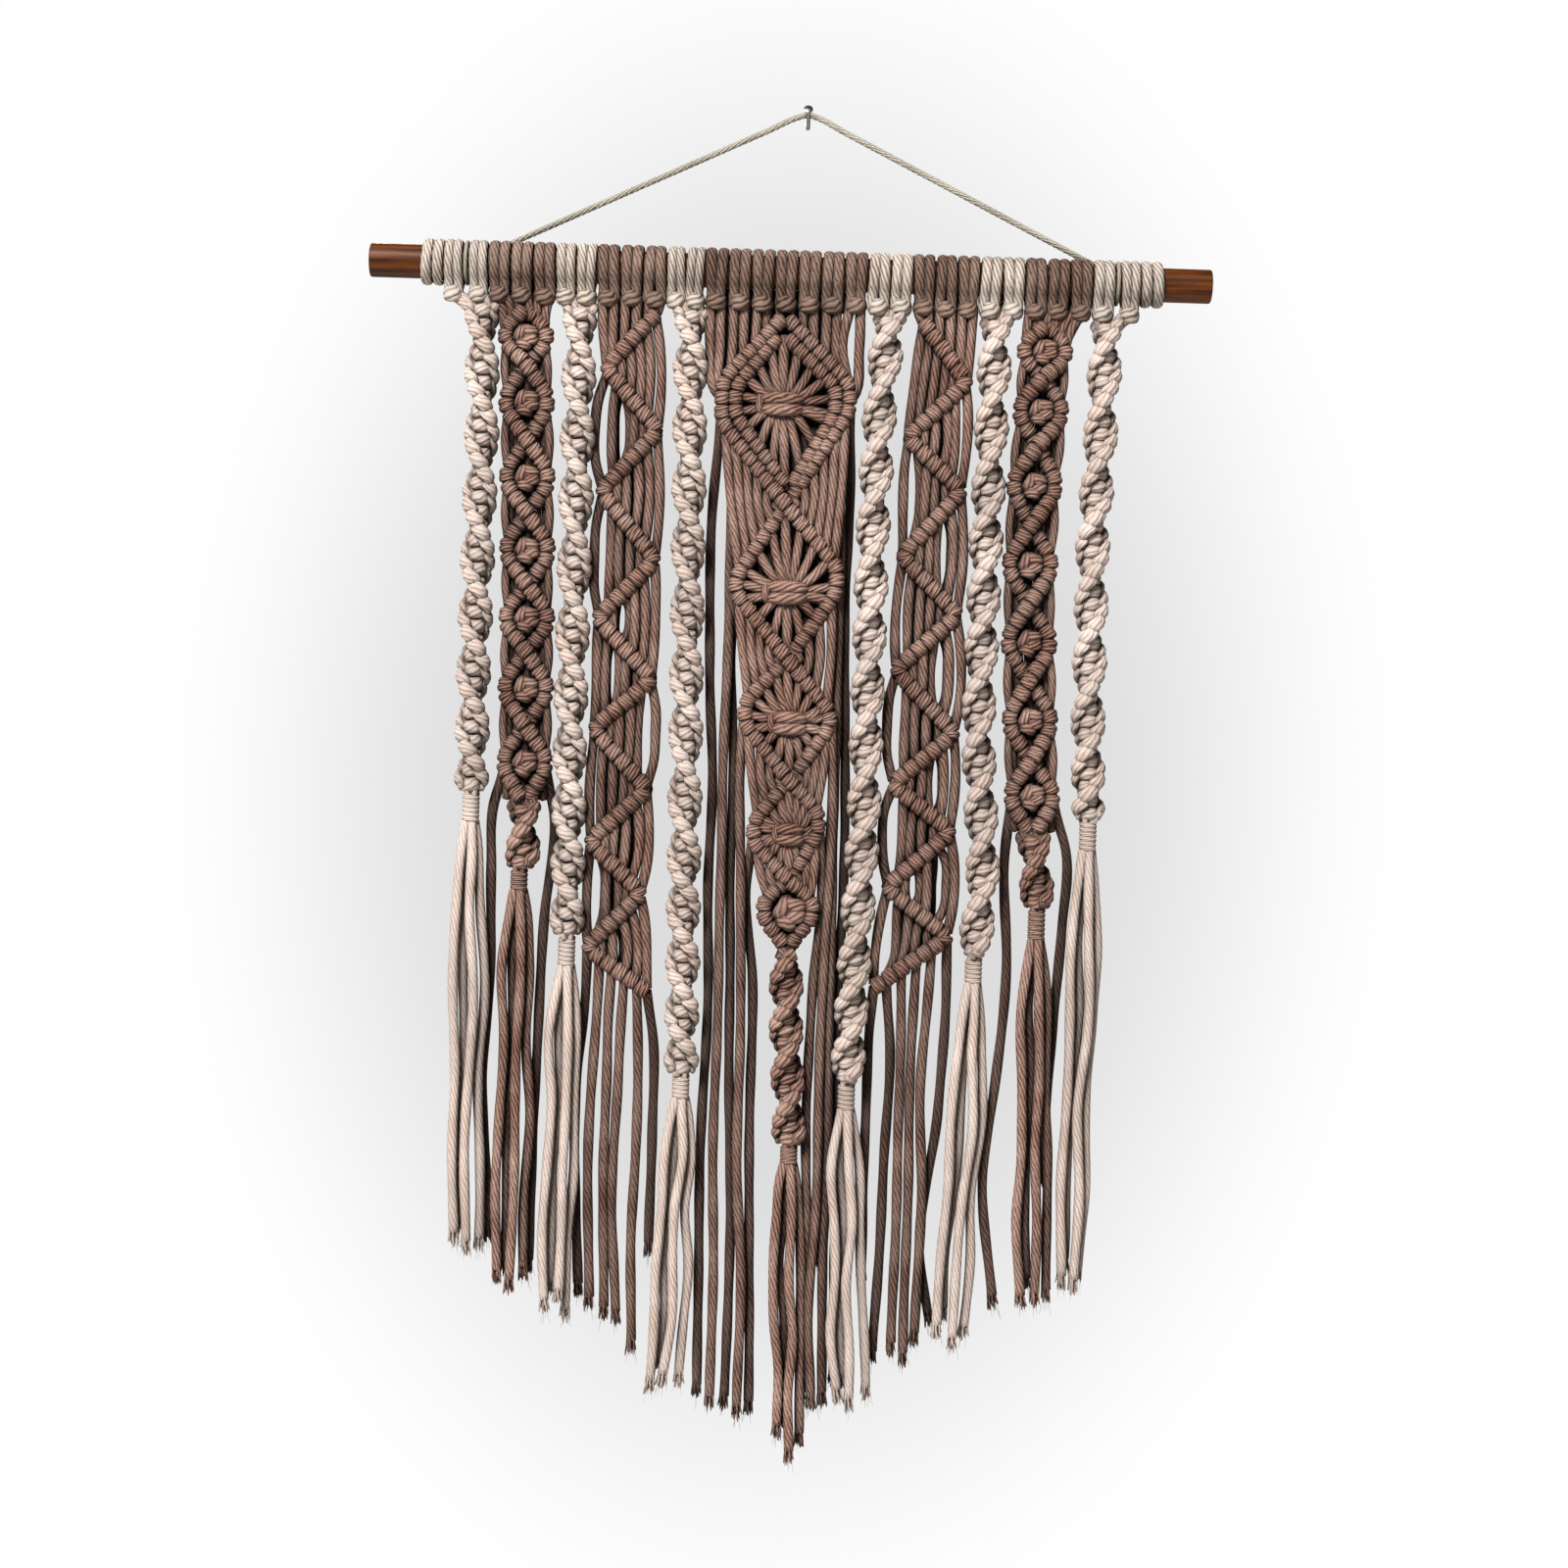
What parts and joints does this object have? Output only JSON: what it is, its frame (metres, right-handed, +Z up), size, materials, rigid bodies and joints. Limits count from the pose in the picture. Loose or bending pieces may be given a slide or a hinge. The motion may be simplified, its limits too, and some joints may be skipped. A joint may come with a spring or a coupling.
{
  "type": "macrame wall hanging with dowel and nail",
  "caption": "Knotted cotton cord wall hanging in cream and mocha columns with a long fringe, on a wooden dowel hung by a cord from a nail.",
  "frame": {"origin": "middle of the nail's flat tail, on the wall's surface", "axes": "+Z up, +Y into the wall, X along the dowel; the front faces -Y"},
  "size_m": [0.4001, 0.0269, 0.6456],
  "materials": {
    "cotton_cream": "soft twisted cotton cord, cream",
    "cotton_mocha": "soft twisted cotton cord, mocha",
    "cotton_natural": "thin twisted cotton cord, undyed",
    "wood_oiled": "oiled",
    "steel": "plain bright steel"
  },
  "bodies": {
    "root": {"dowel": "wood_oiled", "nail": "steel", "hanger": "cotton_natural", "hanger_loop_left": "cotton_natural", "hanger_loop_right": "cotton_natural", "heading_01": "cotton_cream", "heading_02": "cotton_cream", "heading_03": "cotton_cream", "heading_04": "cotton_mocha", "heading_05": "cotton_cream", "heading_06": "cotton_mocha", "heading_07": "cotton_cream", "heading_08": "cotton_mocha", "heading_09": "cotton_cream", "heading_10": "cotton_mocha", "heading_11": "cotton_cream", "heading_12": "cotton_mocha", "heading_13": "cotton_cream", "heading_14": "cotton_cream", "heading_15": "cotton_cream", "spiral_s1": "cotton_cream", "neck_s1": "cotton_cream", "tassel_s1": "cotton_cream", "spiral_s2": "cotton_cream", "neck_s2": "cotton_cream", "tassel_s2": "cotton_cream", "spiral_s3": "cotton_cream", "neck_s3": "cotton_cream", "tassel_s3": "cotton_cream", "spiral_s4": "cotton_cream", "neck_s4": "cotton_cream", "tassel_s4": "cotton_cream", "spiral_s5": "cotton_cream", "neck_s5": "cotton_cream", "tassel_s5": "cotton_cream", "spiral_s6": "cotton_cream", "neck_s6": "cotton_cream", "tassel_s6": "cotton_cream", "spiral_s7": "cotton_mocha", "neck_s7": "cotton_mocha", "tassel_s7": "cotton_mocha", "spiral_s8": "cotton_mocha", "neck_s8": "cotton_mocha", "tassel_s8": "cotton_mocha", "spiral_s9": "cotton_mocha", "neck_s9": "cotton_mocha", "tassel_s9": "cotton_mocha", "column_left": "cotton_mocha", "column_right": "cotton_mocha", "zigzag_left": "cotton_mocha", "zigzag_right": "cotton_mocha", "column_centre": "cotton_mocha"}
  },
  "joints": []
}
